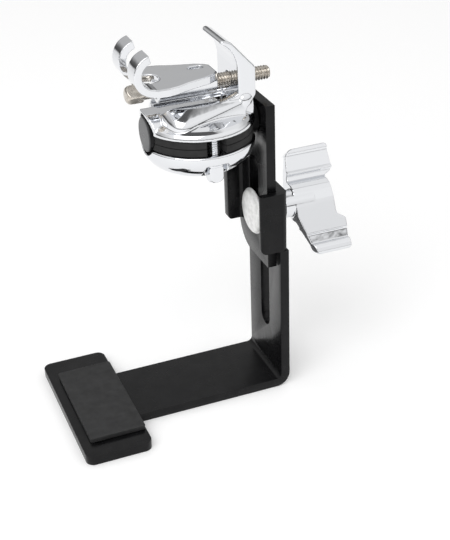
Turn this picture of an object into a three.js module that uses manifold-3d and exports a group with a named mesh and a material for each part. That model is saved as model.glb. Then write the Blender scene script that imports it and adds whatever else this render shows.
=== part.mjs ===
import * as THREE from 'three';
import { mergeVertices } from 'three/addons/utils/BufferGeometryUtils.js';
import Module from 'manifold-3d';

// Bracket that holds a kick pedal at a raised drum: a slotted steel post with a T-shaped foot, a slotted
// upper bracket clamped to it by a carriage bolt and a wing nut, and a cast claw that tilts on a rod and
// grips the drum's hoop. Millimetres, +Z up. In the sketches below X = 0 is the post's inner face, Y = 0
// the bar's centre line and Z = 0 the top of the base arm. The exported group moves that to the part's
// own frame: the centre of its bounding box in X and Y, and the underside of the foot in Z.

// ---- driving dimensions ----
const STEEL = 4.4;                // thickness of both bent steel brackets
const HALF_BAR = 19;              // half the bar's width
const FIT = 0.3;                  // gap between neighbouring pieces
const SLOT_HALF = 5.1;            // half width of both adjusting slots

const FOOT_END = -106.5;
const FOOT_INNER = -74.8;
const FOOT_HALF = 41.4;
const FOOT_CORNER = 4;
const PAD = { left: -102, right: -75.2, front: -31.5, back: 27, top: 3 };

const POST_TOP = 101;
const BEND = 7;                   // outer radius of the base bend
const POST_SLOT = { low: 26.5, high: 90 };
const GUIDE = { left: -9.5, bottom: 71.3, thick: 3.4, bend: 3.5 };

const WEB_INNER = -0.3;
const WEB_OUTER = WEB_INNER - STEEL;
const WEB = { front: -15.2, bottom: 62, top: 143.2, corner: 14 };
const WEB_SLOT = { low: 80, high: 108.9 };
const LIP = { left: -12.4, bottom: 75.5, top: 110, bend: 5, fillet: 2 };

const BOLT_Z = 85.5;
const BOLT_RADIUS = 4.75;
const BOLT_HEAD_RADIUS = 11.1;
const BOLT_END = 30;
const WASHER = { from: STEEL + FIT, to: STEEL + FIT + 1.5, radius: 10.5 };

const NUT = { from: 6.5, hubEnd: 24, hub: 6.6, end: 38.5, lean: 35.7 };

const ROD_Z = 134;
const ROD_RADIUS = 8;
const ROD_END = -56.6;
const RIVET_RADIUS = 5;

const SHELL_X = -31.3;
const SHELL_RADIUS = 25.6;
const UPPER_RIM = 136;
const LOWER_RIM = 128.7;
const LOWER_BOTTOM = 114.8;
const LINER = { radius: 24.6, thick: 3.2, sleeve: 0.8 };
const ARCH_WALL = 3.2;            // from the rod to the outside of the arch over it
const TROUGH = { half: 9, floor: 144.4, corner: 3 };

const CLAMP_BOLT = { x: -31.5, y: 20, radius: 2.75, head: 6.6, bottom: 115, shoulder: 124, top: 139.6 };
const GRUB = { x: -24.6, radius: 3 };

const JAW = { left: -23.7, inner: -16.2, outer: -8, half: 12.5, tipCorner: 5 };
const JAW_BOLT_Z = 153.2;
const JAW_BOLT = { radius: 3.17, end: 3.2, head: -63.8, neck: -55.8, square: 6.6, corner: 4.35 };

const PLATE = { bottom: 155.5, top: 159.2, right: -23 };
const HOOK = { x: -54.4, z: 165.5, inner: 5.9, outer: 9.4, tip: 104, from: 6, to: 15.5 };
const BOSS = { radius: 5.5, from: -50, to: -23 };

const ORIGIN_X = -(FOOT_END + NUT.end) / 2;

// ---- geometry helpers ----
const wasm = await Module();
wasm.setup();

const X = new THREE.Vector3(1, 0, 0);
const Y = new THREE.Vector3(0, 1, 0);
const Z = new THREE.Vector3(0, 0, 1);
const PLANES = {
  xy: { basis: new THREE.Matrix4().makeBasis(X, Y, Z), start: (from) => [0, 0, from] },
  yz: { basis: new THREE.Matrix4().makeBasis(Y, Z, X), start: (from) => [from, 0, 0] },
  xz: { basis: new THREE.Matrix4().makeBasis(X, Z, Y.clone().negate()), start: (from, to) => [0, to, 0] },
};

function solidOf(geometry) {
  const bare = geometry.clone();
  bare.deleteAttribute('normal');
  bare.deleteAttribute('uv');
  const merged = mergeVertices(bare, 1e-4);
  const corners = merged.index.array;
  const triangles = [];
  for (let i = 0; i < corners.length; i += 3) {
    const [a, b, c] = corners.slice(i, i + 3);
    if (a !== b && b !== c && c !== a) triangles.push(a, b, c);
  }
  return new wasm.Manifold(new wasm.Mesh({
    numProp: 3,
    vertProperties: new Float32Array(merged.attributes.position.array),
    triVerts: new Uint32Array(triangles),
  }));
}

function geometryOf(solid) {
  const mesh = solid.getMesh();
  const geometry = new THREE.BufferGeometry();
  geometry.setAttribute('position', new THREE.BufferAttribute(new Float32Array(mesh.vertProperties), 3));
  geometry.setIndex(new THREE.BufferAttribute(new Uint32Array(mesh.triVerts), 1));
  geometry.computeVertexNormals();
  return geometry;
}

// A sketch extruded across its plane: 'xz' sketches run along Y, 'yz' along X and 'xy' along Z.
function prism(shape, plane, from, to, curveSegments = 8) {
  const geometry = new THREE.ExtrudeGeometry(shape, { depth: to - from, bevelEnabled: false, curveSegments });
  geometry.applyMatrix4(PLANES[plane].basis);
  geometry.translate(...PLANES[plane].start(from, to));
  return solidOf(geometry);
}

function circle(radius, a = 0, b = 0) {
  return new THREE.Shape().absarc(a, b, radius, 0, Math.PI * 2, false);
}

function polygon(points) {
  return new THREE.Shape(points.map(([a, b]) => new THREE.Vector2(a, b)));
}

function roundedBox(a0, a1, b0, b1, r) {
  const quarter = Math.PI / 2;
  const shape = new THREE.Shape();
  shape.absarc(a1 - r, b0 + r, r, -quarter, 0, false);
  shape.absarc(a1 - r, b1 - r, r, 0, quarter, false);
  shape.absarc(a0 + r, b1 - r, r, quarter, 2 * quarter, false);
  shape.absarc(a0 + r, b0 + r, r, 2 * quarter, 3 * quarter, false);
  return shape;
}

function uprightSlot(low, high, radius) {
  const shape = new THREE.Shape();
  shape.absarc(0, low, radius, Math.PI, 2 * Math.PI, false);
  shape.absarc(0, high, radius, 0, Math.PI, false);
  return shape;
}

// A turned solid from [radius, position] pairs, listed from the low end of its axis to the high end.
function turned(profile, axis, segments = 32) {
  const geometry = new THREE.LatheGeometry(profile.map(([r, p]) => new THREE.Vector2(r, p)), segments);
  geometry.rotateX(Math.PI / 2);
  if (axis === 'x') geometry.rotateY(Math.PI / 2);
  return solidOf(geometry);
}

function cylinderX(radius, from, to, y = 0, z = 0, segments = 16) {
  return prism(circle(radius, y, z), 'yz', from, to, segments);
}

function cylinderZ(radius, from, to, x = 0, y = 0, segments = 12) {
  return prism(circle(radius, x, y), 'xy', from, to, segments);
}

const finishes = {
  steel: { color: 0x151516, roughness: 0.42, metalness: 0.1 },
  rubber: { color: 0x1c1c1d, roughness: 0.85, metalness: 0 },
  chrome: { color: 0xd6d8dc, roughness: 0.07, metalness: 1 },
  zinc: { color: 0xc8cac9, roughness: 0.35, metalness: 0.9 },
  nickel: { color: 0xa39c92, roughness: 0.28, metalness: 1 },
};

function piece(name, solid, finish) {
  const mesh = new THREE.Mesh(geometryOf(solid), new THREE.MeshStandardMaterial(finishes[finish]));
  mesh.name = name;
  return mesh;
}

// ---- base bracket: foot, arm and post in one bent plate, with a guide lip at the post's front edge ----
function baseBracket() {
  const inner = BEND - STEEL;
  const side = new THREE.Shape();
  side.moveTo(FOOT_INNER - 1, -STEEL);
  side.lineTo(-inner, -STEEL);
  side.absarc(-inner, inner, BEND, -Math.PI / 2, 0, false);
  side.lineTo(STEEL, POST_TOP);
  side.lineTo(0, POST_TOP);
  side.absarc(-inner, inner, inner, 0, -Math.PI / 2, true);
  side.lineTo(FOOT_INNER - 1, 0);
  const bar = prism(side, 'xz', -HALF_BAR, HALF_BAR);
  const foot = prism(roundedBox(FOOT_END, FOOT_INNER, -FOOT_HALF, FOOT_HALF, FOOT_CORNER), 'xy', -STEEL, 0);
  const slot = prism(uprightSlot(POST_SLOT.low, POST_SLOT.high, SLOT_HALF), 'yz', -1, STEEL + 1);

  const rootY = -HALF_BAR + 7;
  const frontCorner = prism(
    roundedBox(-1, STEEL + 1, -HALF_BAR - 1, rootY, 0.01), 'xy', GUIDE.bottom, POST_TOP + 1);
  const section = new THREE.Shape();
  section.moveTo(STEEL, rootY + 0.5);
  section.lineTo(STEEL, -HALF_BAR + GUIDE.bend);
  section.absarc(STEEL - GUIDE.bend, -HALF_BAR + GUIDE.bend, GUIDE.bend, 0, -Math.PI / 2, true);
  const edge = GUIDE.thick / 2;
  section.absarc(GUIDE.left + edge, -HALF_BAR + edge, edge, -Math.PI / 2, -1.5 * Math.PI, true);
  section.lineTo(0, -HALF_BAR + GUIDE.thick);
  section.lineTo(0, rootY + 0.5);
  const face = roundedBox(GUIDE.left, 2 * STEEL + 6, GUIDE.bottom, POST_TOP + 5, 3);
  const guide = prism(section, 'xy', GUIDE.bottom, POST_TOP)
    .intersect(prism(face, 'xz', -HALF_BAR - 1, HALF_BAR).add(prism(
      roundedBox(0, STEEL + 1, -HALF_BAR - 1, HALF_BAR, 0.01), 'xy', GUIDE.bottom, POST_TOP + 1)));
  return piece('base_bracket', bar.subtract(frontCorner).add(guide).add(foot).subtract(slot), 'steel');
}

function footPad() {
  const outline = roundedBox(PAD.left, PAD.right, PAD.front, PAD.back, 1);
  return piece('foot_pad', prism(outline, 'xy', FIT, PAD.top), 'rubber');
}

// ---- upper bracket: slotted web that slides on the post, with a stiffening lip along its back edge ----
function upperBracket() {
  const outline = new THREE.Shape();
  outline.moveTo(WEB.front, WEB.bottom);
  outline.lineTo(HALF_BAR - WEB.corner, WEB.bottom);
  outline.absarc(HALF_BAR - WEB.corner, WEB.bottom + WEB.corner, WEB.corner, -Math.PI / 2, 0, false);
  outline.lineTo(HALF_BAR, WEB.top);
  outline.lineTo(WEB.front, WEB.top);
  const web = prism(outline, 'yz', WEB_OUTER, WEB_INNER, 12);

  const rootY = HALF_BAR - 8;
  const backCorner = prism(
    roundedBox(WEB_OUTER - 1, WEB_INNER + 1, rootY, HALF_BAR + 1, 0.01), 'xy', LIP.bottom + 3, LIP.top);
  const section = new THREE.Shape();
  section.moveTo(WEB_OUTER, rootY - 0.5);
  section.lineTo(WEB_INNER, rootY - 0.5);
  section.absarc(WEB_INNER - LIP.bend, HALF_BAR - LIP.bend, LIP.bend, 0, Math.PI / 2, false);
  section.lineTo(LIP.left, HALF_BAR);
  section.lineTo(LIP.left, HALF_BAR - STEEL);
  section.absarc(WEB_OUTER - LIP.fillet, HALF_BAR - STEEL - LIP.fillet, LIP.fillet, Math.PI / 2, 0, true);
  const lip = prism(section, 'xy', LIP.bottom, LIP.top)
    .intersect(prism(roundedBox(LIP.left, 6, LIP.bottom, LIP.top, 2), 'xz', 0, HALF_BAR + 1));

  const slot = prism(uprightSlot(WEB_SLOT.low, WEB_SLOT.high, SLOT_HALF), 'yz', WEB_OUTER - 3, WEB_INNER + 1);
  const rivetHole = cylinderX(RIVET_RADIUS + FIT, WEB_OUTER - 1, WEB_INNER + 1, 0, ROD_Z);
  const body = web.subtract(backCorner).add(lip).subtract(slot).subtract(rivetHole);
  return piece('upper_bracket', body, 'steel');
}

// ---- height clamp: carriage bolt, washer and wing nut ----
function heightBolt() {
  const seat = WEB_OUTER - FIT;
  const round = turned([
    [0, seat - 3.5], [4.5, seat - 3.4], [8.2, seat - 2.8], [10.3, seat - 1.9], [BOLT_HEAD_RADIUS, seat - 0.9],
    [BOLT_HEAD_RADIUS, seat], [BOLT_RADIUS, seat], [BOLT_RADIUS, BOLT_END - 1], [BOLT_RADIUS - 1, BOLT_END],
    [0, BOLT_END],
  ], 'x');
  const half = BOLT_RADIUS - 0.05;
  const neck = prism(roundedBox(-half, half, -half, half, 0.4), 'yz', seat - 0.5, WEB_INNER - 0.2, 2);
  const mesh = piece('height_bolt', round.add(neck), 'zinc');
  mesh.position.z = BOLT_Z;
  return mesh;
}

function boltWasher() {
  const ring = cylinderX(WASHER.radius, WASHER.from, WASHER.to)
    .subtract(cylinderX(BOLT_RADIUS + 0.4, WASHER.from - 1, WASHER.to + 1));
  const mesh = piece('bolt_washer', ring, 'zinc');
  mesh.position.z = BOLT_Z;
  return mesh;
}

// One face of the nut as [depth, radius] pairs. The other face is the same, turned half round.
const NUT_FACE = [
  [-2.2, 25.4], [-2.9, 24.6], [-2.9, 22.6], [-1.9, 21.8], [-1.9, 13.8], [-2.4, 13], [-1.4, 12.3], [-1.4, 9.8],
  [-4.4, 7.6], [-6.3, 3.6], [-6.3, -2.4], [-2.5, -17], [-1.2, -17.7], [-1.2, -21.6], [-2.3, -22.3],
  [-2.8, -24.2], [-2.3, -26.4], [-1.2, -27.5],
];

function wingNut() {
  const section = NUT_FACE.concat(NUT_FACE.map(([depth, r]) => [-depth, -r]));
  const outline = polygon([
    [14, -8.5], [19.6, -23.8], [20.8, -26], [22.6, -27], [36.9, -27.5], [NUT.end, -26.2], [NUT.end, -13],
    [37.8, -12], [34, -9.6], [33.6, 9], [NUT.end, 12.6], [NUT.end, 23.4], [37.2, 25.2], [21.2, 25],
    [18, 23], [16.4, 20.4], [14, 9],
  ]);
  const wings = prism(polygon(section), 'yz', 14, NUT.end).intersect(prism(outline, 'xz', -8, 8));
  const hub = cylinderX(NUT.hub, NUT.from + 1, NUT.hubEnd)
    .add(cylinderX(NUT.hub - 0.8, NUT.from, NUT.from + 2));
  const bore = cylinderX(BOLT_RADIUS + FIT, NUT.from - 1, NUT.end + 1);
  const mesh = piece('wing_nut', wings.add(hub).subtract(bore), 'chrome');
  mesh.position.z = BOLT_Z;
  mesh.rotation.x = THREE.MathUtils.degToRad(-NUT.lean);
  return mesh;
}

// ---- claw rod: riveted through the web, the whole claw tilts on it ----
function clampRod() {
  const seat = WEB_OUTER - FIT;
  const rod = turned([
    [0, ROD_END], [ROD_RADIUS - 1, ROD_END], [ROD_RADIUS, ROD_END + 1], [ROD_RADIUS, seat],
    [RIVET_RADIUS, seat], [RIVET_RADIUS, WEB_INNER], [0, WEB_INNER],
  ], 'x');
  const mesh = piece('clamp_rod', rod, 'steel');
  mesh.position.z = ROD_Z;
  return mesh;
}

// ---- claw: two half shells round the rod, drawn together by two key-headed bolts ----
function rodGroove() {
  return cylinderX(ROD_RADIUS + LINER.sleeve + 2 * FIT, -62, 0, 0, ROD_Z, 20);
}

function clampBoltHoles(from, to) {
  const radius = CLAMP_BOLT.radius + FIT;
  return cylinderZ(radius, from, to, CLAMP_BOLT.x, -CLAMP_BOLT.y).add(
    cylinderZ(radius, from, to, CLAMP_BOLT.x, CLAMP_BOLT.y));
}

// Sections of the hull that carries the jaw, as [x, half width] pairs at each height.
const HULL_FOOT = [[-50.5, 9.5], [-49.2, 14], [-46.8, 17.8], [-42.8, 19.4], [-38, 18.6], [-33.4, 17.4],
  [-27.2, 15.8], [-18.8, 14], [JAW.outer, 12.8]];
const HULL_SHOULDER = [[-50.6, 8.5], [-48.8, 12.4], [-46, 16], [-42.4, 17.6], [-34, 16.6], [-27, 15],
  [-19, 13.4], [JAW.outer, 12.6]];
const HULL_RIM = [[-50.2, 6], [-47.3, 10], [-44, 12.8], [-40, 14], [-34, 14], [-28, 13.5], [-19, 12.8],
  [JAW.outer, JAW.half]];
const HULL_TOP = [[-49.6, 5], [-46.6, 9], [-43, 11.8], [-39.5, 13], [-34, 13], [-28, 12.6], [JAW.outer, 12]];
const HULL_SECTIONS = [[138.5, HULL_FOOT], [140.6, HULL_FOOT], [144.6, HULL_SHOULDER], [147, HULL_RIM],
  [147.6, HULL_TOP]];

function jawHull() {
  const points = HULL_SECTIONS.flatMap(
    ([z, plan]) => plan.flatMap(([x, half]) => [[x, -half, z], [x, half, z]]));
  return wasm.Manifold.hull(points);
}

function fixedJaw() {
  const cap = turned([
    [0, UPPER_RIM], [SHELL_RADIUS - 0.4, UPPER_RIM], [SHELL_RADIUS, UPPER_RIM + 0.5], [SHELL_RADIUS, 136.9],
    [25.3, 138], [24.5, 139], [23, 139.9], [20.5, 140.9], [17, 141.8], [12, 142.5], [0, 142.9],
  ], 'z', 56).translate([SHELL_X, 0, 0]);
  const arch = cylinderX(ROD_RADIUS + ARCH_WALL, SHELL_X - SHELL_RADIUS, SHELL_X + SHELL_RADIUS, 0, ROD_Z, 20)
    .intersect(cylinderZ(SHELL_RADIUS - 0.2, UPPER_RIM + 0.5, 150, SHELL_X, 0, 24));
  const walls = prism(polygon([
    [-30, 141], [JAW.outer, 141], [JAW.outer, 152.6], [-12.4, 152], [-15, 150.6], [-18.5, 149.2], [-23, 148],
    [-30, 147.4],
  ]), 'xz', -JAW.half, JAW.half);
  const jawPlate = prism(polygon([
    [JAW.outer, 141], [JAW.outer, 160.4], [-8.6, 163], [-18.7, 173.4], [-21.2, 174.7], [-23.2, 174.8],
    [JAW.left, 174.2], [JAW.left, 173.3], [-20.6, 171.7], [-18.5, 169.2], [-16.9, 166], [JAW.inner, 162],
    [JAW.inner, 141],
  ]), 'xz', -JAW.half, JAW.half);
  const plan = new THREE.Shape();
  plan.absarc(JAW.left + 1.5, -JAW.half + 1.5, 1.5, Math.PI, 1.5 * Math.PI, false);
  plan.lineTo(JAW.outer, -JAW.half);
  plan.lineTo(JAW.outer, JAW.half);
  plan.absarc(JAW.left + JAW.tipCorner, JAW.half - JAW.tipCorner, JAW.tipCorner, Math.PI / 2, Math.PI, false);
  const jaw = jawPlate.intersect(prism(plan, 'xy', 140, 177));
  const trough = prism(roundedBox(-TROUGH.half, TROUGH.half, TROUGH.floor, 180, TROUGH.corner),
    'yz', -62, JAW.inner);
  const toe = prism(polygon([
    [-5, 149.2], [JAW.outer, 149.2], [-8.6, 147.6], [-9.8, 146.2], [-11.2, 145], [-12.6, 143.7],
    [-13.2, 141], [-13.2, 130], [-5, 130],
  ]), 'xz', -HALF_BAR, HALF_BAR);
  const carrier = jawHull().add(walls).subtract(trough).add(jaw).subtract(toe);
  const body = cap.add(arch).subtract(trough).add(carrier)
    .subtract(rodGroove())
    .subtract(clampBoltHoles(UPPER_RIM - 1, CLAMP_BOLT.top + FIT))
    .subtract(cylinderZ(GRUB.radius + FIT, 139, 146, GRUB.x))
    .subtract(cylinderX(JAW_BOLT.radius + 0.33, JAW.inner - 3, JAW.outer + 1, 0, JAW_BOLT_Z));
  return piece('fixed_jaw', body, 'chrome');
}

function lowerShell() {
  const flat = 8;
  const profile = [[0, LOWER_BOTTOM]];
  const steps = 9;
  for (let i = 0; i <= steps; i += 1) {
    const angle = (i / steps) * (Math.PI / 2);
    profile.push([
      flat + (SHELL_RADIUS - flat) * Math.sin(angle),
      LOWER_RIM - 1.5 - (LOWER_RIM - 1.5 - LOWER_BOTTOM) * Math.cos(angle),
    ]);
  }
  profile.push([SHELL_RADIUS, LOWER_RIM - 0.5], [SHELL_RADIUS - 0.4, LOWER_RIM], [0, LOWER_RIM]);
  let bowl = turned(profile, 'z', 56).translate([SHELL_X, 0, 0]);
  const spotRadius = 6;
  for (const side of [-1, 1]) {
    bowl = bowl.subtract(cylinderZ(spotRadius, 110, CLAMP_BOLT.shoulder + FIT,
      CLAMP_BOLT.x, side * (CLAMP_BOLT.y + 1)));
  }
  const body = bowl.subtract(rodGroove()).subtract(clampBoltHoles(110, LOWER_RIM + 1));
  return piece('lower_shell', body, 'chrome');
}

function liner(name, side) {
  const face = side > 0 ? UPPER_RIM : LOWER_RIM;
  const near = face - side * FIT;
  const far = near - side * LINER.thick;
  const sheet = cylinderZ(LINER.radius, Math.min(near, far), Math.max(near, far), SHELL_X, 0, 24);
  const halfSpace = prism(roundedBox(-60, 60, far, far + side * 30, 0.01), 'yz', -70, 5);
  const sleeveRadius = ROD_RADIUS + FIT + LINER.sleeve;
  const ends = { from: SHELL_X - 22, to: SHELL_X + 22 };
  const sleeve = cylinderX(sleeveRadius, ends.from, ends.to, 0, ROD_Z, 20).intersect(halfSpace);
  const bore = cylinderX(ROD_RADIUS + FIT, -62, 0, 0, ROD_Z, 20);
  const { x, y } = CLAMP_BOLT;
  const notch = prism(
    polygon([[x - 3.6, y - 1], [x + 3.6, y - 1], [x + 5.6, 30], [x - 5.6, 30]]), 'xy', 120, 140);
  let body = sheet.add(sleeve).subtract(bore).subtract(clampBoltHoles(120, 140))
    .subtract(notch).subtract(notch.mirror([0, 1, 0]));
  if (side > 0) body = body.subtract(cylinderZ(GRUB.radius + FIT, 136, 146, GRUB.x));
  return piece(name, body, 'rubber');
}

function clampBolt(name, side) {
  const half = CLAMP_BOLT.head / 2;
  const { bottom, shoulder, top, radius } = CLAMP_BOLT;
  const square = prism(roundedBox(-half, half, -half, half, 0.7), 'xy', bottom, shoulder - 1, 3);
  const rounding = turned([
    [0, bottom], [2.4, bottom], [3.6, bottom + 0.6], [4.6, bottom + 2.4], [4.6, shoulder], [0, shoulder],
  ], 'z', 24);
  const shank = turned([
    [0, shoulder - 1.2], [4.2, shoulder - 1.2], [4.2, shoulder], [radius, shoulder], [radius, top - 0.8],
    [radius - 0.8, top], [0, top],
  ], 'z', 24);
  const mesh = piece(name, square.intersect(rounding).add(shank), 'chrome');
  mesh.position.set(CLAMP_BOLT.x, side * CLAMP_BOLT.y, 0);
  return mesh;
}

function grubScrew() {
  const low = ROD_Z + ROD_RADIUS + FIT;
  const high = TROUGH.floor + 0.3;
  const socket = prism(circle(1.5), 'xy', high - 1.6, high + 1, 3);
  const body = turned([
    [0, low], [GRUB.radius - 0.5, low], [GRUB.radius, low + 0.5], [GRUB.radius, high - 0.3],
    [GRUB.radius - 0.3, high], [0, high],
  ], 'z', 24).subtract(socket);
  const mesh = piece('rod_grub_screw', body, 'zinc');
  mesh.position.x = GRUB.x;
  return mesh;
}

// ---- moving jaw: plate with a half-round boss below and two hooks that catch the hoop ----
function hook(y0, y1) {
  const start = -Math.PI / 2;
  const tip = THREE.MathUtils.degToRad(HOOK.tip);
  const shape = new THREE.Shape();
  shape.absarc(HOOK.x, HOOK.z, HOOK.outer, start, tip - 2 * Math.PI, true);
  shape.absarc(HOOK.x, HOOK.z, HOOK.inner, tip - 2 * Math.PI, start, false);
  return prism(shape, 'xz', y0, y1, 10);
}

function movingJaw() {
  const outline = polygon([
    [HOOK.x, -HOOK.to], [-48, -HOOK.to], [-44, -14.6], [-34, -10.8], [-28, -9], [-24.4, -7],
    [PLATE.right, -5.5], [PLATE.right, 5.5], [-24.4, 7], [-28, 9], [-34, 10.8], [-44, 14.6],
    [-48, HOOK.to], [HOOK.x, HOOK.to],
  ]);
  const plate = prism(outline, 'xy', PLATE.bottom, PLATE.top);
  const bossShape = new THREE.Shape();
  bossShape.moveTo(-BOSS.radius, PLATE.bottom + 1);
  bossShape.lineTo(-BOSS.radius, JAW_BOLT_Z);
  bossShape.absarc(0, JAW_BOLT_Z, BOSS.radius, Math.PI, 2 * Math.PI, false);
  bossShape.lineTo(BOSS.radius, PLATE.bottom + 1);
  const boss = prism(bossShape, 'yz', BOSS.from, BOSS.to, 10);
  const notch = prism(roundedBox(HOOK.x - 20, -48, -HOOK.from, HOOK.from, 5), 'xy', 150, 180);
  const pocket = prism(roundedBox(-33, -26.6, 4.6, 7.8, 1.5), 'xy', PLATE.top - 1.6, PLATE.top + 1, 5);
  const hooks = hook(-HOOK.to, -HOOK.from).add(hook(HOOK.from, HOOK.to));
  const body = plate.subtract(notch).add(hooks).add(boss).subtract(pocket)
    .subtract(cylinderX(JAW_BOLT.radius + 0.33, BOSS.from - 3, BOSS.to + 1, 0, JAW_BOLT_Z));
  return piece('moving_jaw', body, 'chrome');
}

function jawBolt() {
  const { radius, end, head, neck, square, corner } = JAW_BOLT;
  const half = square / 2;
  const key = prism(roundedBox(-half, half, -half, half, 0.4), 'yz', head, neck, 3).rotate([45, 0, 0]);
  const envelope = turned([
    [0, head], [2.6, head], [3.8, head + 0.7], [corner, head + 2.2], [corner, neck - 0.6],
    [corner - 0.8, neck], [0, neck],
  ], 'x', 24);
  const shank = turned([
    [0, neck - 1], [radius, neck - 1], [radius, end - 1], [radius - 1, end], [0, end],
  ], 'x', 24);
  const mesh = piece('jaw_bolt', key.intersect(envelope).add(shank), 'nickel');
  mesh.position.z = JAW_BOLT_Z;
  return mesh;
}

const group = new THREE.Group();
group.position.set(ORIGIN_X, 0, STEEL);
group.add(
  baseBracket(), footPad(), heightBolt(), boltWasher(), wingNut(), upperBracket(), clampRod(), fixedJaw(),
  liner('upper_liner', 1), grubScrew(), lowerShell(), liner('lower_liner', -1),
  clampBolt('clamp_bolt_front', -1), clampBolt('clamp_bolt_rear', 1), movingJaw(), jawBolt(),
);

export default group;
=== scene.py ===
import math

import bmesh
import bpy
from mathutils import Matrix, Vector


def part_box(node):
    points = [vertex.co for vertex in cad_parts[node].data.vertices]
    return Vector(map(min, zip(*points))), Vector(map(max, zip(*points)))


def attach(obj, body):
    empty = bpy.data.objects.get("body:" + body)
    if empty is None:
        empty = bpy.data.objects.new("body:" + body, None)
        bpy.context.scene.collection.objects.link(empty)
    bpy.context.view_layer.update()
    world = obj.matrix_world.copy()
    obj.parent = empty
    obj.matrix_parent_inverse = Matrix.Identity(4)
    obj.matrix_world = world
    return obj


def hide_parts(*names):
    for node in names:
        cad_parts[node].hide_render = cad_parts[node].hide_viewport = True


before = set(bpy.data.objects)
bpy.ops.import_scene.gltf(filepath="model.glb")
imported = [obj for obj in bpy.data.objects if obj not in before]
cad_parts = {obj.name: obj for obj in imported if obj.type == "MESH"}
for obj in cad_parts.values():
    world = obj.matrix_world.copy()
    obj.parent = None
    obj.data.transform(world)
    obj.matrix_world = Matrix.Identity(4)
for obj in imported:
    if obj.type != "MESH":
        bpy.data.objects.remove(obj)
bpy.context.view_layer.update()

# Pieces are built in millimetres in the bracket's sketch frame: X = 0 is the post's inner face, Y = 0 the
# bar's centre line and Z = 0 the top of the base arm. settle() moves them into the row frame, in metres.
MM = 0.001
STEEL = 4.4                      # thickness of the brackets' plate
ORIGIN = Vector((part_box("base_bracket")[1].x - STEEL * MM, 0, STEEL * MM))


def sketch_box(node):
    """Lowest and highest corner of a CAD node, in the sketch frame, in millimetres."""
    return tuple((corner - ORIGIN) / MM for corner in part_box(node))


# The rod, and the two half shells that clamp it.
ROD_LOW, ROD_HIGH = sketch_box("clamp_rod")
ROD_Z = (ROD_LOW.z + ROD_HIGH.z) / 2
ROD_RADIUS = (ROD_HIGH.z - ROD_LOW.z) / 2
UPPER_LOW, UPPER_HIGH = sketch_box("fixed_jaw")
UPPER_RIM = UPPER_LOW.z
SHELL_RADIUS = UPPER_HIGH.y
BOWL_LOW, BOWL_HIGH = sketch_box("lower_shell")
SHELL_X = (BOWL_LOW.x + BOWL_HIGH.x) / 2

# Bolts: the axis comes from the CAD box. RADIUS is the thread's outer radius, PITCH its rise in a turn.
CLAMP_LOW, CLAMP_HIGH = sketch_box("clamp_bolt_front")
CLAMP_X = (CLAMP_LOW.x + CLAMP_HIGH.x) / 2
CLAMP_Y = -(CLAMP_LOW.y + CLAMP_HIGH.y) / 2
CLAMP_RADIUS = 2.75
CLAMP_PITCH = 1.058
JAWBOLT_LOW, JAWBOLT_HIGH = sketch_box("jaw_bolt")
JAWBOLT_Z = (JAWBOLT_LOW.z + JAWBOLT_HIGH.z) / 2
JAWBOLT_RADIUS = 3.17
JAWBOLT_PITCH = 1.27
HEIGHT_LOW, HEIGHT_HIGH = sketch_box("height_bolt")
BOLT_Z = (HEIGHT_LOW.z + HEIGHT_HIGH.z) / 2
BOLT_RADIUS = 4.75
BOLT_PITCH = 1.5875
KEY_SIZE = 6.6                   # width of the square heads that a drum key fits
BORE_GAP = 0.3                   # play between a bolt and its bore, on the radius
JAW_BORE = JAWBOLT_RADIUS + 0.33
GRUB_LOW, GRUB_HIGH = sketch_box("rod_grub_screw")
GRUB_X = (GRUB_LOW.x + GRUB_HIGH.x) / 2
GRUB_RADIUS = 3

# The upright jaw, and the walls and hull that carry it.
JAW_HALF = 12.5                  # half its width
JAW_INNER = -16.2                # X of its face towards the hooks
JAW_OUTER = -8.0                 # X of its outer face
TOE_HALF = 19                    # half the width of the wedge cut off at its foot

# Cutting tools start left of the whole claw, or end above it, so that they pass right through it.
CLAW_LEFT = -64
CLAW_ABOVE = 180

# Voxel sizes of the fused castings: fine for a key head, coarser for the large pieces.
FINE_VOXEL = 0.16
NUT_VOXEL = 0.27
HOOK_VOXEL = 0.3
SHELL_VOXEL = 0.33

# Angles in degrees above which an edge stays crisp.
PLATE_CREASE = 30
BOLT_CREASE = 35
HEAD_CREASE = 40

# ---------------------------------------------------------------- mesh helpers


def mesh_object(name, points, faces):
    """A new mesh object whose faces all point outwards."""
    mesh = bpy.data.meshes.new(name)
    mesh.from_pydata([tuple(p) for p in points], [], faces)
    cleaner = bmesh.new()
    cleaner.from_mesh(mesh)
    bmesh.ops.recalc_face_normals(cleaner, faces=cleaner.faces)
    cleaner.to_mesh(mesh)
    cleaner.free()
    obj = bpy.data.objects.new(name, mesh)
    bpy.context.scene.collection.objects.link(obj)
    return obj


def arc(a, b, radius, start, end, count=24):
    """Points on an arc in a sketch plane, angles in degrees."""
    angles = [math.radians(start + (end - start) * i / count) for i in range(count + 1)]
    return [(a + radius * math.cos(t), b + radius * math.sin(t)) for t in angles]


def rounded(a0, a1, b0, b1, radius, count=8):
    """A rectangle with round corners, as points."""
    return (arc(a1 - radius, b0 + radius, radius, -90, 0, count)
            + arc(a1 - radius, b1 - radius, radius, 0, 90, count)
            + arc(a0 + radius, b1 - radius, radius, 90, 180, count)
            + arc(a0 + radius, b0 + radius, radius, 180, 270, count))


def extrude(outline, plane, start, end):
    """A closed outline pulled across its plane: 'xz' along Y, 'yz' along X, 'xy' along Z."""
    place = {
        "xz": lambda a, b, c: (a, c, b),
        "yz": lambda a, b, c: (c, a, b),
        "xy": lambda a, b, c: (a, b, c),
    }[plane]
    count = len(outline)
    points = [place(a, b, c) for c in (start, end) for a, b in outline]
    faces = [tuple(range(count)), tuple(range(2 * count - 1, count - 1, -1))]
    faces += [(i, (i + 1) % count, (i + 1) % count + count, i + count) for i in range(count)]
    return mesh_object("extruded", points, faces)


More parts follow.
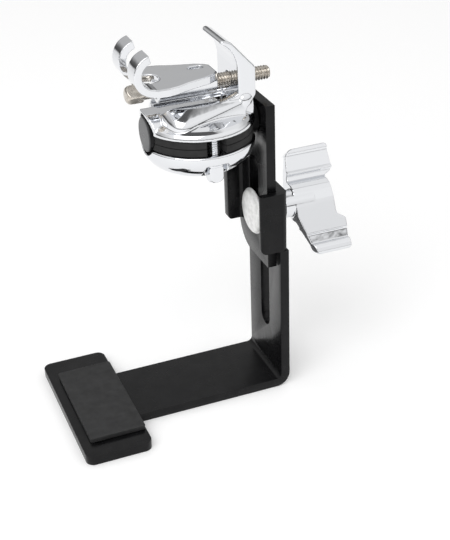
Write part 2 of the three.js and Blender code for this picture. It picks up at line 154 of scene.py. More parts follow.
def lathe(profile, axis, centre, segments=128, ring=False):
    """A turned solid from (radius, position) pairs. axis 'x' is centred at (y, z) and 'z' at (x, y)."""
    points, rows = [], []
    for radius, position in profile:
        if radius < 1e-6:
            rows.append([len(points)] * segments)
            points.append((position, *centre) if axis == "x" else (*centre, position))
            continue
        rows.append(list(range(len(points), len(points) + segments)))
        for i in range(segments):
            angle = 2 * math.pi * i / segments
            u, v = radius * math.cos(angle), radius * math.sin(angle)
            if axis == "x":
                points.append((position, centre[0] + u, centre[1] + v))
            else:
                points.append((centre[0] + u, centre[1] + v, position))
    pairs = list(zip(rows, rows[1:] + rows[:1] if ring else rows[1:]))
    faces = []
    for low, high in pairs:
        for i in range(segments):
            k = (i + 1) % segments
            corners = dict.fromkeys((low[i], low[k], high[k], high[i]))
            if len(corners) > 2:
                faces.append(tuple(corners))
    return mesh_object("turned", points, faces)


def cylinder(axis, radius, start, end, centre, segments=64):
    """A plain round bar, with the same axes and centres as lathe()."""
    return lathe([(0, start), (radius, start), (radius, end), (0, end)], axis, centre, segments)


def thread(axis, radius, pitch, start, end, centre, depth, segments=40):
    """A solid rod with a right-handed screw thread, its ends tapered by the thread's depth.

    The groove runs from 0 on the flat crest to 1 in the flat root.
    """
    rows_per_turn, slope, crest = 10, 1.35, 0.15
    rows = round((end - start) / pitch * rows_per_turn)
    points, faces = [], []
    for row in range(rows + 1):
        position = start + (end - start) * row / rows
        edge = min(position - start, end - position) / pitch
        taper = depth * max(0.0, 1 - 1.6 * edge)
        for i in range(segments):
            phase = (position / pitch - i / segments) % 1
            groove = min(1.0, max(0.0, slope * (1 - abs(2 * phase - 1)) - crest))
            r = min(radius - depth * groove, radius - taper)
            angle = 2 * math.pi * i / segments
            u, v = r * math.cos(angle), r * math.sin(angle)
            if axis == "x":
                points.append((position, centre[0] + u, centre[1] + v))
            else:
                points.append((centre[0] + u, centre[1] + v, position))
    for row in range(rows):
        for i in range(segments):
            k = (i + 1) % segments
            low, high = row * segments, (row + 1) * segments
            faces.append((low + i, low + k, high + k, high + i))
    faces.append(tuple(range(segments)))
    faces.append(tuple(range(rows * segments, (rows + 1) * segments)))
    return mesh_object("thread", points, faces)


def apply_modifiers(obj):
    """Bakes an object's modifiers into its mesh."""
    depsgraph = bpy.context.evaluated_depsgraph_get()
    mesh = bpy.data.meshes.new_from_object(obj.evaluated_get(depsgraph))
    obj.modifiers.clear()
    obj.data = mesh
    return obj


def boolean(obj, tool, operation):
    """Combines the tool with the object and removes the tool."""
    modifier = obj.modifiers.new("boolean", "BOOLEAN")
    modifier.operation = operation
    modifier.solver = "EXACT"
    modifier.object = tool
    apply_modifiers(obj)
    bpy.data.objects.remove(tool)
    return obj


def cut(obj, *tools):
    """Takes each tool's shape out of the object and removes the tool."""
    for tool in tools:
        boolean(obj, tool, "DIFFERENCE")
    return obj


def join(*parts):
    """One object holding several closed meshes; soften() then fuses them."""
    joined = bmesh.new()
    for part in parts:
        joined.from_mesh(part.data)
    joined.to_mesh(parts[0].data)
    joined.free()
    for part in parts[1:]:
        bpy.data.objects.remove(part)
    return parts[0]


def soften(obj, voxel, rounds):
    """Fuses the meshes of a casting into one skin and rounds its edges."""
    remesh = obj.modifiers.new("remesh", "REMESH")
    remesh.mode = "VOXEL"
    remesh.voxel_size = voxel
    smooth = obj.modifiers.new("smooth", "SMOOTH")
    smooth.factor = 0.5
    smooth.iterations = rounds
    return apply_modifiers(obj)


def shade_smooth(obj, angle=None):
    """Smooth shading, with edges sharper than the angle in degrees left crisp."""
    for polygon in obj.data.polygons:
        polygon.use_smooth = True
    if angle is not None:
        cleaner = bmesh.new()
        cleaner.from_mesh(obj.data)
        for edge in cleaner.edges:
            edge.smooth = len(edge.link_faces) != 2 or edge.calc_face_angle() < math.radians(angle)
        cleaner.to_mesh(obj.data)
        cleaner.free()


def settle(obj, name, node, body, material, angle=None):
    obj.data.transform(Matrix.Translation(ORIGIN) @ Matrix.Scale(MM, 4))
    declare(obj, name, node, body, material, angle)


def declare(obj, name, node, body, material, angle=None):
    """Names and shades a piece that is in the row frame, and ties it to its CAD node and body."""
    obj.name = name
    obj.data.name = name
    shade_smooth(obj, angle)
    obj.data.materials.clear()
    obj.data.materials.append(material)
    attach(obj, body)
    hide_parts(node)


def bevelled_copy(node, width, segments=3):
    """The CAD solid with its flat faces merged and every sharp edge rounded, still in the row frame."""
    obj = bpy.data.objects.new(node + "_copy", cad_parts[node].data.copy())
    bpy.context.scene.collection.objects.link(obj)
    cleaner = bmesh.new()
    cleaner.from_mesh(obj.data)
    bmesh.ops.remove_doubles(cleaner, verts=cleaner.verts, dist=1e-6)
    bmesh.ops.dissolve_limit(cleaner, angle_limit=math.radians(0.6), verts=cleaner.verts,
                             edges=cleaner.edges)
    cleaner.to_mesh(obj.data)
    cleaner.free()
    bevel = obj.modifiers.new("bevel", "BEVEL")
    bevel.width = width
    bevel.segments = segments
    bevel.limit_method = "ANGLE"
    bevel.angle_limit = math.radians(35)
    return apply_modifiers(obj)


# ---------------------------------------------------------------- materials


COAT_BLACK = (0.005, 0.005, 0.0055)
COAT_SHEEN = 0.2


def new_material(name, color, metallic, roughness):
    material = bpy.data.materials.new(name)
    material.use_nodes = True
    shader = material.node_tree.nodes["Principled BSDF"]
    shader.inputs["Base Color"].default_value = (*color, 1)
    shader.inputs["Metallic"].default_value = metallic
    shader.inputs["Roughness"].default_value = roughness
    return material, material.node_tree, shader


def noise_node(tree, scale, detail=3.0):
    coordinates = tree.nodes.new("ShaderNodeTexCoord")
    noise = tree.nodes.new("ShaderNodeTexNoise")
    noise.inputs["Scale"].default_value = scale
    noise.inputs["Detail"].default_value = detail
    tree.links.new(coordinates.outputs["Object"], noise.inputs["Vector"])
    return noise


def vary_roughness(tree, shader, scale, low, high):
    """Roughness that drifts between two values over the surface."""
    noise = noise_node(tree, scale)
    spread = tree.nodes.new("ShaderNodeMapRange")
    spread.inputs["From Min"].default_value = 0.3
    spread.inputs["From Max"].default_value = 0.7
    spread.inputs["To Min"].default_value = low
    spread.inputs["To Max"].default_value = high
    tree.links.new(noise.outputs["Fac"], spread.inputs["Value"])
    tree.links.new(spread.outputs["Result"], shader.inputs["Roughness"])


def vary_color(tree, shader, scale, dark, light):
    """Base colour mottled between two colours."""
    noise = noise_node(tree, scale, 5.0)
    ramp = tree.nodes.new("ShaderNodeValToRGB")
    ramp.color_ramp.elements[0].position = 0.35
    ramp.color_ramp.elements[0].color = (*dark, 1)
    ramp.color_ramp.elements[1].position = 0.65
    ramp.color_ramp.elements[1].color = (*light, 1)
    tree.links.new(noise.outputs["Fac"], ramp.inputs["Fac"])
    tree.links.new(ramp.outputs["Color"], shader.inputs["Base Color"])


def add_bump(tree, shader, layers):
    """Bump from noise layers of (scale, strength, distance in metres)."""
    previous = None
    for scale, strength, distance in layers:
        bump = tree.nodes.new("ShaderNodeBump")
        bump.inputs["Strength"].default_value = strength
        bump.inputs["Distance"].default_value = distance
        tree.links.new(noise_node(tree, scale).outputs["Fac"], bump.inputs["Height"])
        if previous:
            tree.links.new(previous.outputs["Normal"], bump.inputs["Normal"])
        previous = bump
    tree.links.new(previous.outputs["Normal"], shader.inputs["Normal"])


def powder_coat():
    material, tree, shader = new_material("black_powder_coat", COAT_BLACK, 0.0, 0.26)
    shader.inputs["Specular IOR Level"].default_value = COAT_SHEEN
    vary_color(tree, shader, 180, (0.003, 0.003, 0.0035), (0.006, 0.006, 0.0065))
    vary_roughness(tree, shader, 60, 0.2, 0.32)
    add_bump(tree, shader, [(1600, 0.18, 0.0001), (5200, 0.12, 0.00004)])
    return material


def rod_steel():
    """The brackets' black coat, with a painted grey reflection on the rod's flat end face."""
    material, tree, shader = new_material("black_rod_bar", COAT_BLACK, 0.0, 0.3)
    shader.inputs["Specular IOR Level"].default_value = COAT_SHEEN
    coordinates = tree.nodes.new("ShaderNodeTexCoord")
    split = tree.nodes.new("ShaderNodeSeparateXYZ")
    along = tree.nodes.new("ShaderNodeMapRange")
    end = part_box("clamp_rod")[0].x
    along.inputs["From Min"].default_value = end + 0.05 * MM
    along.inputs["From Max"].default_value = end + 0.6 * MM
    ramp = tree.nodes.new("ShaderNodeValToRGB")
    # Painted reflection: the rod's end face is coloured grey as if it mirrored the pale surroundings, fading
    # to the black coat within 0.6 mm.
    ramp.color_ramp.elements[0].color = (0.085, 0.086, 0.09, 1)
    ramp.color_ramp.elements[1].color = (*COAT_BLACK, 1)
    tree.links.new(coordinates.outputs["Object"], split.inputs["Vector"])
    tree.links.new(split.outputs["X"], along.inputs["Value"])
    tree.links.new(along.outputs["Result"], ramp.inputs["Fac"])
    tree.links.new(ramp.outputs["Color"], shader.inputs["Base Color"])
    vary_roughness(tree, shader, 60, 0.26, 0.4)
    add_bump(tree, shader, [(1600, 0.18, 0.0001)])
    return material


def chrome():
    material, tree, shader = new_material("bright_chrome", (0.77, 0.78, 0.8), 1.0, 0.06)
    vary_roughness(tree, shader, 90, 0.035, 0.09)
    add_bump(tree, shader, [(85, 0.25, 0.0006), (700, 0.05, 0.0001)])
    return material


def rubber(name, color, rough):
    material, tree, shader = new_material(name, color, 0.0, rough)
    vary_roughness(tree, shader, 140, rough - 0.08, rough + 0.06)
    vary_color(tree, shader, 260, tuple(c * 0.75 for c in color), tuple(c * 1.3 for c in color))
    add_bump(tree, shader, [(900, 0.3, 0.0001), (4200, 0.35, 0.00006)])
    return material


def zinc():
    material, tree, shader = new_material("pale_zinc", (0.86, 0.86, 0.85), 0.4, 0.42)
    vary_color(tree, shader, 420, (0.74, 0.74, 0.73), (0.92, 0.92, 0.91))
    vary_roughness(tree, shader, 300, 0.34, 0.52)
    add_bump(tree, shader, [(500, 0.25, 0.0002), (2600, 0.2, 0.00005)])
    return material


def nickel():
    material, tree, shader = new_material("warm_nickel", (0.6, 0.56, 0.5), 1.0, 0.26)
    vary_color(tree, shader, 500, (0.5, 0.46, 0.41), (0.66, 0.62, 0.56))
    vary_roughness(tree, shader, 350, 0.2, 0.36)
    add_bump(tree, shader, [(800, 0.15, 0.0001)])
    return material


MATERIALS = {
    "black_steel": powder_coat(),
    "pad_rubber": rubber("pad_rubber", (0.016, 0.016, 0.0165), 0.62),
    "liner_rubber": rubber("liner_rubber", (0.01, 0.01, 0.01), 0.8),
    "chrome": chrome(),
    "bolt_zinc": zinc(),
    "nickel": nickel(),
}


def finish_piece(obj, name, node, body, slot, angle=None):
    """settle() with the slot's own material."""
    settle(obj, name, node, body, MATERIALS[slot], angle)


# ---------------------------------------------------------------- steel brackets and rubber


def flat_pieces():
    """The bent plates, the pad and the liners: the CAD solids with their edges rounded."""
    for node, body in (("base_bracket", "base"), ("upper_bracket", "upper_bracket")):
        plate = bevelled_copy(node, 0.55 * MM, 3)
        declare(plate, node + "_plate", node, body, MATERIALS["black_steel"], PLATE_CREASE)
    pad = bevelled_copy("foot_pad", 0.4 * MM, 3)
    declare(pad, "foot_pad_rubber", "foot_pad", "base", MATERIALS["pad_rubber"],
            PLATE_CREASE)
    for node, body in (("upper_liner", "claw"), ("lower_liner", "lower_shell")):
        liner = bevelled_copy(node, 0.2 * MM, 2)
        declare(liner, node + "_rubber", node, body, MATERIALS["liner_rubber"],
                PLATE_CREASE)


def clamp_rod():
    seat = ROD_HIGH.x - STEEL - 0.3
    edge, spigot, chamfer = 0.9, 5, 0.4
    profile = [(0, ROD_LOW.x), (6.6, ROD_LOW.x)]
    profile += arc(ROD_RADIUS - edge, ROD_LOW.x + edge, edge, -90, 0, 6)
    profile += [(ROD_RADIUS, seat), (spigot, seat), (spigot, ROD_HIGH.x - chamfer),
                (spigot - chamfer, ROD_HIGH.x), (0, ROD_HIGH.x)]
    bar = lathe(profile, "x", (0, ROD_Z))
    settle(bar, "clamp_rod_bar", "clamp_rod", "upper_bracket", rod_steel(),
           PLATE_CREASE)


# ---------------------------------------------------------------- height clamp


def height_bolt():
    """A domed head, the square neck below it and the threaded shank."""
    seat = HEIGHT_LOW.x + 3.5
    radius = HEIGHT_HIGH.y
    dome = [(0, seat - 3.45)]
    dome += [((radius - 0.5) * math.sin(t), seat - 1.25 - 2.2 * math.cos(t))
             for t in [math.radians(4 + 86 * i / 14) for i in range(15)]]
    dome += [(radius, seat - 0.8), (radius, seat - 0.25), (radius - 0.3, seat), (0, seat)]
    head = lathe(dome, "x", (0, BOLT_Z), 96)
    half = BOLT_RADIUS - 0.05
    neck = extrude(rounded(-half, half, BOLT_Z - half, BOLT_Z + half, 0.5), "yz", seat - 0.2, -0.5)
    shank = thread("x", BOLT_RADIUS, BOLT_PITCH, -0.6, HEIGHT_HIGH.x, (0, BOLT_Z), 0.8)
    bolt = join(head, neck, shank)
    finish_piece(bolt, "height_bolt_carriage", "height_bolt", "height_bolt", "bolt_zinc", BOLT_CREASE)


def bolt_washer():
    low, high = sketch_box("bolt_washer")
    outer, inner, edge = high.y, BOLT_RADIUS + 0.4, 0.2
    profile = [(inner, low.x + edge), (inner + edge, low.x), (outer - edge, low.x), (outer, low.x + edge),
               (outer, high.x - edge), (outer - edge, high.x), (inner + edge, high.x), (inner, high.x - edge)]
    ring = lathe(profile, "x", (0, BOLT_Z), 64, ring=True)
    finish_piece(ring, "bolt_washer_ring", "bolt_washer", "washer", "bolt_zinc", BOLT_CREASE)


# One face of the wing nut as (depth, radius) pairs. The other face is the same, turned half round.
NUT_FACE = [
    (-2.2, 25.4), (-2.8, 24.9), (-2.9, 24.2), (-2.8, 22.9), (-2.0, 22), (-1.9, 21), (-1.9, 14.4),
    (-2.6, 13.7), (-2.5, 12.8), (-1.4, 12.3), (-1.3, 9.9), (-2.2, 9.2), (-4.4, 7.6), (-5.9, 5.4),
    (-6.4, 2.8), (-6.4, -1.6), (-6.0, -3.6), (-2.7, -16.9), (-2.0, -17.3), (-0.7, -21.7), (-2.3, -22.3),
    (-2.8, -24.2), (-2.4, -26.4), (-1.2, -27.5),
]
NUT_START, NUT_HUB_END, NUT_END = 6.5, 24, 38.5
NUT_HALF = 9                     # half the thickness that NUT_FACE has to fit in
NUT_LEAN = 35.7                  # how far the wings are turned from upright, in degrees


def nut_outline():
    """The wings seen square on, as (along the bolt, radius) pairs: lower wing, notch, upper wing."""
    tip = 1.6
    return ([(14, -8.5), (19.7, -24)] + arc(22.4, -25.2, 2.2, 200, 270, 6)
            + arc(NUT_END - tip, -25.9, tip, -90, 0, 6)
            + [(NUT_END, -14), (NUT_END - 0.2, -12.6), (37.6, -11.9), (34.4, -10), (34, -8.4)]
            + [(33.7, 8.6), (34.4, 9.8), (37.2, 11.2), (NUT_END, 12.8)]
            + arc(NUT_END - tip, 23.6, tip, 0, 84, 6) + arc(20.6, 20.4, 4.6, 92, 170, 8)
            + [(15, 15), (14, 9.5)])


def wing_nut():
    """Two wings and a hub, made about the X axis and then turned and lifted to the bolt."""
    section = NUT_FACE + [(-depth, -radius) for depth, radius in NUT_FACE]
    wings = boolean(extrude(section, "yz", 13, 40),
                    extrude(nut_outline(), "xz", -NUT_HALF, NUT_HALF), "INTERSECT")
    collar, barrel = 6.2, 6.7
    hub = lathe([(0, NUT_START), (collar - 0.4, NUT_START), (collar, NUT_START + 0.4),
                 (collar, NUT_START + 2), (barrel, NUT_START + 2.8), (barrel, NUT_HUB_END),
                 (0, NUT_HUB_END)], "x", (0, 0), 96)
    for part in (wings, hub):
        cut(part, cylinder("x", BOLT_RADIUS + BORE_GAP, NUT_START - 1, NUT_END + 1, (0, 0)))
    body = soften(join(wings, hub), NUT_VOXEL, 4)
    lean = Matrix.Rotation(math.radians(-NUT_LEAN), 4, "X")
    body.data.transform(Matrix.Translation((0, 0, BOLT_Z)) @ lean)
    finish_piece(body, "wing_nut_casting", "wing_nut", "wing_nut", "chrome")


# ---------------------------------------------------------------- claw


def rod_groove():
    """The channel in both shells that leaves room for the rod."""
    return cylinder("x", ROD_RADIUS + 1.4, CLAW_LEFT, 2, (0, ROD_Z), 96)


def clamp_holes(low, high):
    """The bores for both clamp bolts, front and rear."""
    return [cylinder("z", CLAMP_RADIUS + BORE_GAP, low, high, (CLAMP_X, side * CLAMP_Y))
            for side in (-1, 1)]


# Foot and top outline of the hull that carries the jaw, as (x, half width) pairs.
HULL_FOOT = [(-50.5, 9.5), (-49.2, 14), (-46.8, 17.8), (-42.8, 19.4), (-38, 18.6), (-33.4, 17.4),
             (-27.2, 15.8), (-18.8, 14), (-8, 12.8)]
HULL_TOP = [(-49.6, 5), (-48.2, 7.2), (-46.6, 9), (-43, 11.8), (-39.5, 13), (-34, 13), (-28, 12.6),
            (-19, 12.3), (-8, 12)]
HULL_STEPS = 12


def spline(points, steps=6):
    """A smooth curve through the points."""
    ends = [points[0], *points, points[-1]]
    curve = []
    for before, start, end, after in zip(ends, ends[1:], ends[2:], ends[3:]):
        for i in range(steps):
            t = i / steps
            curve.append(tuple(
                0.5 * (2 * b + (c - a) * t + (2 * a - 5 * b + 4 * c - d) * t * t
                       + (3 * b - a - 3 * c + d) * t ** 3)
                for a, b, c, d in zip(before, start, end, after)))
    return curve + [points[-1]]


def jaw_hull(low, high):
    """The convex body between the two outlines, bulging outwards as it rises."""
    steps = [i / HULL_STEPS for i in range(HULL_STEPS + 1)]
    rings = [(low - 2, 0.0)] + [(low + (high - low) * t, t ** 2) for t in steps]
    shape = bmesh.new()
    for z, blend in rings:
        for (x0, w0), (x1, w1) in zip(spline(HULL_FOOT), spline(HULL_TOP)):
            x, width = x0 + (x1 - x0) * blend, w0 + (w1 - w0) * blend
            shape.verts.new((x, -width, z))
            shape.verts.new((x, width, z))
    result = bmesh.ops.convex_hull(shape, input=shape.verts)
    bmesh.ops.delete(shape, geom=result["geom_interior"], context="VERTS")
    body = mesh_object("hull", [], [])
    shape.to_mesh(body.data)
    shape.free()
    return body


def jaw_root(side):
    """The round swelling where the hull runs into the jaw."""
    radius, squash = 4.4, Matrix.Diagonal((0.95, 0.82, 1.0, 1))
    angles = [math.pi * i / 24 for i in range(25)]
    ball = lathe([(radius * math.sin(t), -radius * math.cos(t)) for t in angles], "z", (0, 0), 64)
    ball.data.transform(Matrix.Translation((-13, side * 10.4, 146.2)) @ squash)
    return ball


def upper_cap():
    """The upper half shell: a low dome whose rim sits on the liner."""
    rim, radius = UPPER_RIM, SHELL_RADIUS
    profile = [(0, rim), (radius - 0.5, rim), (radius - 0.1, rim + 0.3), (radius, rim + 0.8)]
    profile += [(25.3, rim + 1.9), (24.6, rim + 2.9), (23, rim + 3.9), (20.5, rim + 4.9), (17, rim + 5.8),
                (12, rim + 6.5), (0, rim + 6.9)]
    return lathe(profile, "z", (SHELL_X, 0), 192)


def rod_arch():
    """The swelling over the rod, kept inside the cap's round outline."""
    wall, inset = 3.2, 0.2
    arch = cylinder("x", ROD_RADIUS + wall, SHELL_X - SHELL_RADIUS, SHELL_X + SHELL_RADIUS, (0, ROD_Z), 96)
    disc = cylinder("z", SHELL_RADIUS - inset, UPPER_RIM + 0.5, CLAW_ABOVE, (SHELL_X, 0), 128)
    return boolean(arch, disc, "INTERSECT")


def trough_walls():
    """The block behind the jaw whose top sweeps up into it. The trough is cut out of it later."""
    left, base = -32, 140
    sweep = [(-12.6, 152), (-15, 150.7), (-18, 149.4), (-22, 148.2), (-26, 147.7), (left, 147.4)]
    return extrude([(left, base), (JAW_OUTER, base), (JAW_OUTER, 152.8), *sweep], "xz",
                   -JAW_HALF, JAW_HALF)


def jaw_toe():
    """The wedge that is cut off below the jaw's outer face, which leaves its foot round."""
    outline = [(-5, 149.6), (JAW_OUTER, 149.6), (-8.4, 148), (-9.2, 146.8), (-10.2, 145.8),
               (-11.4, 144.9), (-12.6, 143.7), (-13.2, 142.3), (-13.4, 140), (-13.4, 125), (-5, 125)]
    return extrude(outline, "xz", -TOE_HALF, TOE_HALF)


def upright_jaw():
    """The jaw's side view, with its tip leaning over the trough, trimmed to its plan."""
    base = 140
    outline = ([(JAW_OUTER, base), (JAW_OUTER, 160.2)] + arc(JAW_OUTER - 3, 160.2, 3, 8, 44, 5)
               + [(-18.7, 173.4), (-21.2, 174.6)] + arc(-22.9, 173.9, 0.9, 80, 200, 6)
               + [(-20.9, 171.9), (-19.4, 170.3), (-18.0, 168.1), (-16.9, 165.3)]
               + [(JAW_INNER, 161.5), (JAW_INNER, base)])
    jaw = extrude(outline, "xz", -JAW_HALF, JAW_HALF)
    left, front, rear = -24, 2, 5
    plan = (arc(left + front, -JAW_HALF + front, front, 180, 270) + [(-5, -JAW_HALF), (-5, JAW_HALF)]
            + arc(left + rear, JAW_HALF - rear, rear, 90, 180))
    boolean(jaw, extrude(plan, "xy", 130, CLAW_ABOVE), "INTERSECT")
    return cut(jaw, cylinder("x", JAW_BORE, -19, -5, (0, JAWBOLT_Z)), rod_groove(), jaw_toe())


def fixed_jaw():
    """The upper shell, the trough and the upright jaw, cast in one piece."""
    cap, arch = upper_cap(), rod_arch()
    hull = jaw_hull(UPPER_RIM + 4.6, UPPER_RIM + 11.6)
    swellings = [trough_walls(), jaw_root(-1), jaw_root(1)]
    trough_floor, trough_half, corner = GRUB_HIGH.z - 0.3, 9, 3.2
    for part in (hull, *swellings):
        cut(part, jaw_toe())
    for part in (cap, arch, hull, *swellings):
        trough = rounded(-trough_half, trough_half, trough_floor, CLAW_ABOVE, corner)
        cut(part, extrude(trough, "yz", CLAW_LEFT, JAW_INNER), rod_groove())
    for part in (cap, arch, hull):
        grub_hole = cylinder("z", GRUB_RADIUS + BORE_GAP, 138, CLAW_ABOVE, (GRUB_X, 0))
        cut(part, *clamp_holes(134, CLAMP_HIGH.z + 0.3), grub_hole)
    body = soften(join(cap, arch, hull, *swellings, upright_jaw()), SHELL_VOXEL, 5)
    finish_piece(body, "fixed_jaw_casting", "fixed_jaw", "claw", "chrome")


def lower_shell():
    """A round bowl with a flat bottom and a flat spot under each clamp bolt's head."""
    rim, low, radius, flat, edge = BOWL_HIGH.z, BOWL_LOW.z, SHELL_RADIUS, 8, 1.6
    angles = [math.radians(90 * i / 28) for i in range(29)]
    profile = [(0, low)]
    profile += [(flat + (radius - flat) * math.sin(t), rim - edge - (rim - edge - low) * math.cos(t))
                for t in angles]
    profile += [(radius, rim - 0.6), (radius - 0.5, rim), (0, rim)]
    bowl = lathe(profile, "z", (SHELL_X, 0), 192)
    spots = [cylinder("z", 6, 105, 124.3, (CLAMP_X, side * (CLAMP_Y + 1))) for side in (-1, 1)]
    cut(bowl, rod_groove(), *spots, *clamp_holes(110, 131))
    body = soften(bowl, SHELL_VOXEL, 6)
    finish_piece(body, "lower_shell_casting", "lower_shell", "lower_shell", "chrome")


# The moving jaw.
PLATE_LOW, PLATE_TOP = 155.5, 159.2
PLATE_RIGHT = sketch_box("moving_jaw")[1].x
HOOK_X, HOOK_Z = -54.4, 165.5    # centre of the hooks' bend
HOOK_NEAR, HOOK_FAR = 6, 15.5    # each hook's two sides, as distances from the middle
HOOK_TIP = 104                   # where a hook ends, in degrees round its centre
BOSS_RADIUS = 5.5


def jaw_plate():
    """The moving jaw's tapered plate, with the notch between its hooks and a pocket in its top."""
    edge = [(HOOK_X, HOOK_FAR), (-48, HOOK_FAR), (-44, 14.6), (-39, 12.4), (-34, 10.8), (-28, 9),
            (-24.6, 7), (PLATE_RIGHT, 5)]
    plate = extrude([(x, -y) for x, y in edge] + edge[::-1], "xy", PLATE_LOW, PLATE_TOP)
    notch = arc(-54, 0, HOOK_NEAR, -90, 90, 16) + [(-80, HOOK_NEAR), (-80, -HOOK_NEAR)]
    pocket = rounded(-33, -26.4, 2.6, 6, 1.6)
    return cut(plate, extrude(notch, "xy", 150, CLAW_ABOVE),
               extrude(pocket, "xy", PLATE_TOP - 1.8, PLATE_TOP + 1))


def moving_jaw():
    bore = (JAW_BORE, -56, -20, (0, JAWBOLT_Z))
    plate = cut(jaw_plate(), cylinder("x", *bore))
    section = arc(0, JAWBOLT_Z, BOSS_RADIUS, 180, 360, 32)
    section = [(-BOSS_RADIUS, PLATE_LOW + 1), *section, (BOSS_RADIUS, PLATE_LOW + 1)]
    boss = cut(extrude(section, "yz", -50, PLATE_RIGHT), cylinder("x", *bore))
    outer, inner = 9.4, 5.9
    bend = (arc(HOOK_X, HOOK_Z, outer, -90, HOOK_TIP - 360, 48)
            + arc(HOOK_X, HOOK_Z, inner, HOOK_TIP - 360, -90, 48))
    hooks = [extrude(bend, "xz", *sorted((side * HOOK_NEAR, side * HOOK_FAR))) for side in (-1, 1)]
    body = soften(join(plate, boss, *hooks), HOOK_VOXEL, 4)
    finish_piece(body, "moving_jaw_casting", "moving_jaw", "moving_jaw", "chrome")


def key_head(axis, low, high, corner, centre, turn=0):
    """A square drum-key head with its corners and its free end rounded off."""
    half = KEY_SIZE / 2
    square = extrude(rounded(-half, half, -half, half, 0.35), "yz" if axis == "x" else "xy", low, high)
    square.data.transform(Matrix.Rotation(math.radians(turn), 4, axis.upper()))
    square.data.transform(Matrix.Translation((0, *centre) if axis == "x" else (*centre, 0)))
    profile = [(0, low), (half * 0.7, low + 0.05), (half * 0.98, low + 0.5), (corner - 0.25, low + 1.5),
               (corner, low + 2.6), (corner, high - 0.5), (corner - 0.6, high), (0, high)]
    return soften(boolean(square, lathe(profile, axis, centre, 64), "INTERSECT"), FINE_VOXEL, 3)


def clamp_bolts():
    head_top, shoulder = 123, 124
    outer, edge = 4.2, 0.3
    for name, side in (("clamp_bolt_front", -1), ("clamp_bolt_rear", 1)):
        centre = (CLAMP_X, side * CLAMP_Y)
        head = key_head("z", CLAMP_LOW.z, head_top, 4.3, centre)
        collar = lathe([(0, head_top - edge), (outer - edge, head_top - edge), (outer, head_top),
                        (outer, shoulder - edge), (outer - edge, shoulder), (0, shoulder)], "z", centre, 64)
        shank = thread("z", CLAMP_RADIUS, CLAMP_PITCH, shoulder - 0.2, CLAMP_HIGH.z, centre, 0.5)
        finish_piece(join(head, collar, shank), name + "_key", name, name, "chrome", HEAD_CREASE)


def jaw_bolt():
    centre = (0, JAWBOLT_Z)
    head_end, neck_end, neck = -55.8, -48.4, 3.1
    head = key_head("x", JAWBOLT_LOW.x, head_end, 4.35, centre, 45)
    collar = lathe([(0, head_end - 0.4), (neck, head_end - 0.4), (neck, neck_end - 0.6),
                    (neck - 0.2, neck_end), (0, neck_end)], "x", centre, 64)
    screw = thread("x", JAWBOLT_RADIUS, JAWBOLT_PITCH, neck_end - 0.6, JAWBOLT_HIGH.x, centre, 0.62)
    finish_piece(join(head, collar, screw), "jaw_bolt_key", "jaw_bolt", "jaw_bolt", "nickel", HEAD_CREASE)


def grub_screw():
    """A short set screw with a hexagonal socket."""
    low, high, radius = GRUB_LOW.z, GRUB_HIGH.z, GRUB_RADIUS
    body = lathe([(0, low), (radius - 0.6, low), (radius, low + 0.5), (radius, high - 0.35),
                  (radius - 0.35, high), (0, high)], "z", (GRUB_X, 0), 64)
    socket = arc(GRUB_X, 0, 1.6, 0, 300, 5)
    cut(body, extrude(socket, "xy", high - 1.6, high + 1))
    finish_piece(body, "rod_grub_screw_hex", "rod_grub_screw", "claw", "bolt_zinc", BOLT_CREASE)


flat_pieces()
clamp_rod()
height_bolt()
bolt_washer()
wing_nut()
fixed_jaw()
lower_shell()
moving_jaw()
clamp_bolts()
jaw_bolt()
grub_screw()

# ---------------------------------------------------------------- floor, light and camera


def floor():
    """A pale, faintly glowing floor, just below the foot so that the two never share a plane."""
    half, level = 12.0, -0.3 * MM
    corners = [(-half, -half, level), (half, -half, level), (half, half, level), (-half, half, level)]
    ground = mesh_object("floor", corners, [(0, 1, 2, 3)])
    material, _, shader = new_material("pale_floor", (0.9, 0.9, 0.9), 0.0, 0.9)
    shader.inputs["Specular IOR Level"].default_value = 0.1
    shader.inputs["Emission Color"].default_value = (1, 1, 1, 1)
    shader.inputs["Emission Strength"].default_value = 0.16
    ground.data.materials.append(material)


def area_light(name, location, target, size, power):
    """A rectangular light of the given size in metres and power in watts, aimed at the target."""
    data = bpy.data.lights.new(name, "AREA")
    data.shape = "RECTANGLE"
    data.size, data.size_y = size
    data.energy = power
    light = bpy.data.objects.new(name, data)
    light.location = location
    light.rotation_mode = "QUATERNION"
    light.rotation_quaternion = (Vector(target) - Vector(location)).to_track_quat("-Z", "Y")
    bpy.context.scene.collection.objects.link(light)


def gray_ramp(tree, factor, stops):
    """A ramp of greys from (position, level) stops, driven by the factor socket."""
    ramp = tree.nodes.new("ShaderNodeValToRGB")
    elements = ramp.color_ramp.elements
    while len(elements) < len(stops):
        elements.new(0.5)
    for element, (position, level) in zip(elements, stops):
        element.position = position
        element.color = (level, level, level, 1)
    tree.links.new(factor, ramp.inputs["Fac"])
    return ramp.outputs["Color"]


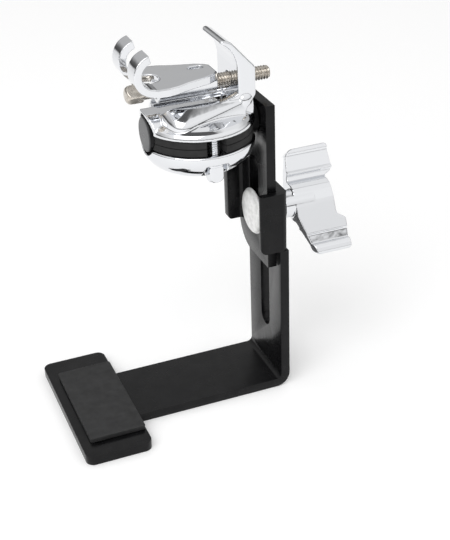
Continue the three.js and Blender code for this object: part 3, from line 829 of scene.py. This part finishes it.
# Brightness over height, from 0 straight down through 0.5 at the horizon to 1 straight up.
FRONT_LEVELS = [(0.0, 0.9), (0.5, 0.9), (0.507, 0.08), (0.548, 0.12), (0.568, 0.9),
                (0.8, 1.05), (0.945, 1.0), (0.965, 0.15), (1.0, 0.1)]
BACK_LEVELS = [(0.0, 0.8), (0.5, 0.7), (0.53, 0.06), (0.6, 0.14), (0.66, 0.52),
               (0.78, 0.58), (0.85, 0.95), (0.965, 0.95), (0.98, 0.12)]


def studio_world():
    """A pale front and a greyer back, each with a dark band above the horizon and a dark spot overhead."""
    world = bpy.data.worlds.new("studio")
    bpy.context.scene.world = world
    world.use_nodes = True
    tree = world.node_tree
    background = tree.nodes["Background"]
    coordinates = tree.nodes.new("ShaderNodeTexCoord")
    split = tree.nodes.new("ShaderNodeSeparateXYZ")
    tree.links.new(coordinates.outputs["Generated"], split.inputs["Vector"])
    unit = {}
    for axis in "YZ":
        spread = tree.nodes.new("ShaderNodeMapRange")
        spread.inputs["From Min"].default_value = -1
        tree.links.new(split.outputs[axis], spread.inputs["Value"])
        unit[axis] = spread.outputs["Result"]
    blend = tree.nodes.new("ShaderNodeMixRGB")
    tree.links.new(gray_ramp(tree, unit["Y"], [(0.38, 0.0), (0.6, 1.0)]), blend.inputs["Fac"])
    tree.links.new(gray_ramp(tree, unit["Z"], FRONT_LEVELS), blend.inputs["Color1"])
    tree.links.new(gray_ramp(tree, unit["Z"], BACK_LEVELS), blend.inputs["Color2"])
    tree.links.new(blend.outputs["Color"], background.inputs["Color"])
    background.inputs["Strength"].default_value = 1.0


def camera():
    """The camera stands where the bracket's straight edges line up as they do in the reference view."""
    data = bpy.data.cameras.new("camera")
    data.sensor_width = 36
    data.lens = 78.376
    cam = bpy.data.objects.new("camera", data)
    right = Vector((0.92810983, -0.37094306, -0.0318336))
    down = Vector((-0.20932415, -0.44919624, -0.86856556))
    forward = Vector((0.30788884, 0.81278778, -0.49455079))
    place = Vector((-194.88, -459.60, 336.50)) * MM + ORIGIN
    rotation = Matrix((right, -down, -forward)).transposed().to_4x4()
    cam.matrix_world = Matrix.Translation(place) @ rotation
    bpy.context.scene.collection.objects.link(cam)
    bpy.context.scene.camera = cam


floor()
area_light("key", (-0.8, -0.8, 1.3), (0, 0, 0.1), (1.3, 1.3), 12)
studio_world()
camera()
bpy.context.scene.view_settings.view_transform = "Standard"
